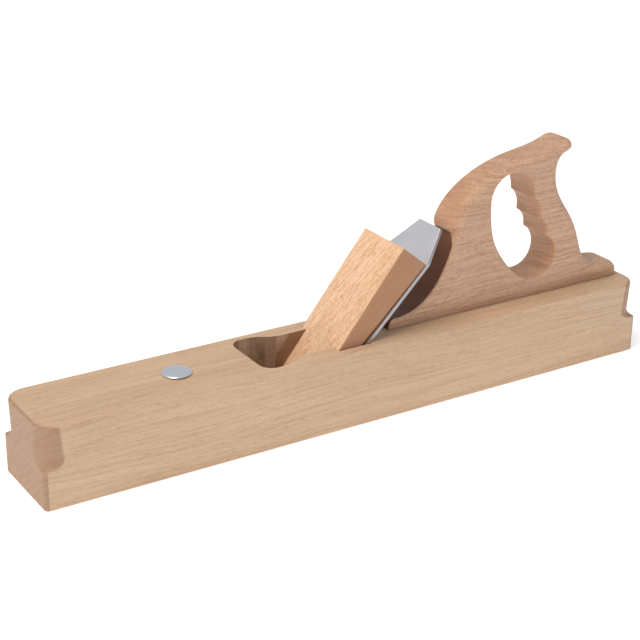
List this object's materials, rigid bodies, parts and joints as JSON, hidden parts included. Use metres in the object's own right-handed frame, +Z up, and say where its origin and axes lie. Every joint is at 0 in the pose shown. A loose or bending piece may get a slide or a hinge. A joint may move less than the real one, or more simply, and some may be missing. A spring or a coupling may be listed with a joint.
{
  "type": "hand plane",
  "caption": "Long wooden jointer plane with a closed rear handle, a wedged double iron and a steel striking button.",
  "frame": {"origin": "middle of the sole, under the middle of the stock's length and width", "axes": "+X from the toe to the heel, +Y to the left hand of someone who pushes the plane towards -X from behind it, +Z up from the sole"},
  "size_m": [0.6, 0.08, 0.2128],
  "materials": {
    "stock_beech": "planed and oiled",
    "handle_beech": "sanded and oiled",
    "wedge_beech": "planed and oiled",
    "dowel_beech": "bare",
    "tool_steel": "ground",
    "cap_steel": "ground",
    "bright_steel": "polished"
  },
  "bodies": {
    "plane_body": {"stock": "stock_beech", "handle": "handle_beech", "handle_dowel_front": "dowel_beech", "handle_dowel_rear": "dowel_beech", "striking_button": "bright_steel"},
    "iron": {"cutting_iron": "tool_steel"},
    "cap": {"cap_iron": "cap_steel", "cap_boss": "bright_steel"},
    "screw": {"cap_screw": "bright_steel"},
    "wedge": {"wedge": "wedge_beech"}
  },
  "joints": [
    {"name": "iron_slide", "type": "slide", "parent": "plane_body", "child": "iron", "axis": [0.7071, 0, 0.7071], "range_m": [-0.0015, 0.1]},
    {"name": "cap_slide", "type": "slide", "parent": "iron", "child": "cap", "axis": [0.7071, 0, 0.7071], "range_m": [0, 0.03]},
    {"name": "wedge_slide", "type": "slide", "parent": "cap", "child": "wedge", "axis": [0.7071, 0, 0.7071], "range_m": [0, 0.12]},
    {"name": "screw_turn", "type": "hinge", "parent": "cap", "child": "screw", "pos_m": [-0.01358, 0, 0.05091], "axis": [-0.7071, 0, 0.7071], "range_deg": [0, 720]}
  ]
}
